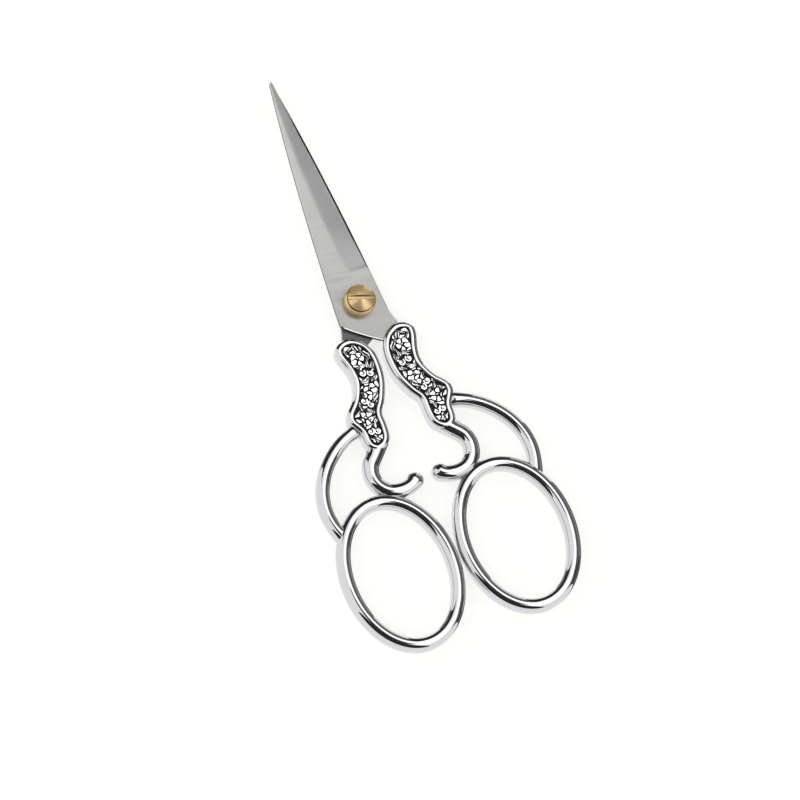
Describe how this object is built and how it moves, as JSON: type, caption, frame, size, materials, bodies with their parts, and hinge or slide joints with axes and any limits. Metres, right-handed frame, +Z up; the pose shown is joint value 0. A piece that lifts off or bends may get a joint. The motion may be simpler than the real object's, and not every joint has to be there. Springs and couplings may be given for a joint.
{
  "type": "embroidery scissors",
  "caption": "Small craft scissors with slim pointed steel blades, a slotted brass pivot screw and plated cast handles with finger rings, hooks and side arcs; swing open to cut thread.",
  "frame": {"origin": "on the pivot's axis, on the underside of the pivot nut, in the plane on which the scissors lie", "axes": "+Y along the closed blades to the tips, +X to the right handle, +Z up off the table along the pivot's axis"},
  "size_m": [0.0532, 0.1282, 0.0069],
  "materials": {
    "blade_steel": "satin ground steel",
    "handle_chrome": "bright plated casting with blackened panel",
    "pivot_brass": "turned and polished brass"
  },
  "bodies": {
    "rear_half": {"rear_blade": "blade_steel", "left_handle": "handle_chrome", "pivot_nut": "pivot_brass", "pivot_collar": "pivot_brass", "pivot_screw": "pivot_brass"},
    "front_half": {"front_blade": "blade_steel", "right_handle": "handle_chrome"}
  },
  "joints": [
    {"name": "blade_pivot", "type": "hinge", "parent": "rear_half", "child": "front_half", "pos_m": [0, 0, 0], "axis": [0, 0, 1], "range_deg": [0, 105]}
  ]
}
